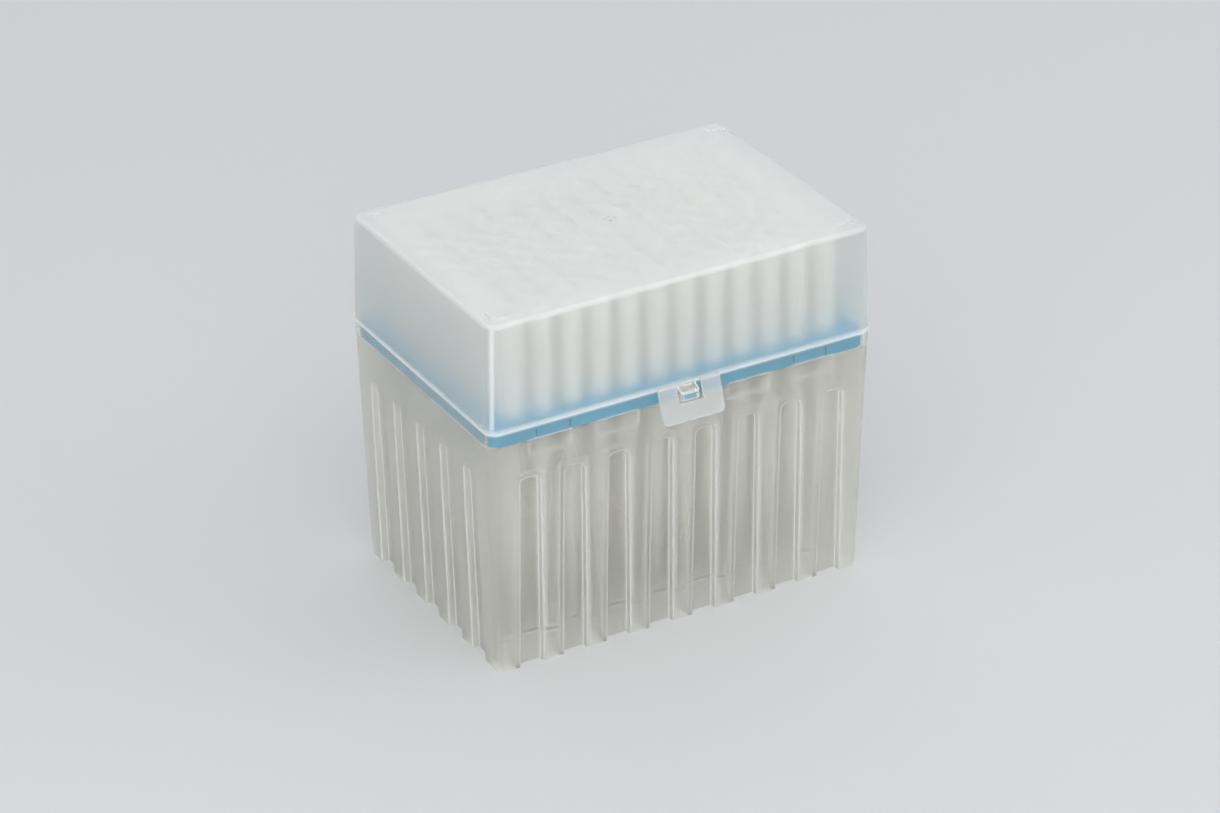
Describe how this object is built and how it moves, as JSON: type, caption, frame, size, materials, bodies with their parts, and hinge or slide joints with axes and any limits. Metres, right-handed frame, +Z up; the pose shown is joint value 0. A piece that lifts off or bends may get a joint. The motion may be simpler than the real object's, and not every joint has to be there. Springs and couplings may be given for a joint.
{
  "type": "pipette tip box",
  "caption": "Rectangular box with a fluted frosted tub, a hinged clear lid held by a snap latch, and a perforated rack plate that holds long pipette tips upright in rows.",
  "frame": {"origin": "centre of the tub's foot, on the surface that the box stands on", "axes": "+X along the long sides, -Y out of the side with the latch, +Z up"},
  "size_m": [0.123, 0.0934, 0.1097],
  "materials": {
    "tub": "frosted translucent polypropylene",
    "rack": "satin, coloured right through",
    "lid": "clear with a faint haze",
    "tips": "translucent polypropylene"
  },
  "bodies": {
    "base": {"base_tub": "tub", "rack_plate": "rack", "tips_column_01": "tips", "tips_column_02": "tips", "tips_column_03": "tips", "tips_column_04": "tips", "tips_column_05": "tips", "tips_column_06": "tips", "tips_column_07": "tips", "tips_column_08": "tips", "tips_column_09": "tips", "tips_column_10": "tips", "tips_column_11": "tips", "tips_column_12": "tips"},
    "lid": {"lid": "lid"},
    "latch": {"latch_tab": "lid"}
  },
  "joints": [
    {"name": "lid_hinge", "type": "hinge", "parent": "base", "child": "lid", "pos_m": [0, 0.04435, 0.0804], "axis": [-1, 0, 0], "range_deg": [0, 180]},
    {"name": "latch_flex", "type": "hinge", "parent": "lid", "child": "latch", "pos_m": [0, -0.042, 0.07725], "axis": [-1, 0, 0], "range_deg": [0, 25], "stiffness_Nm_per_rad": 0.05}
  ]
}
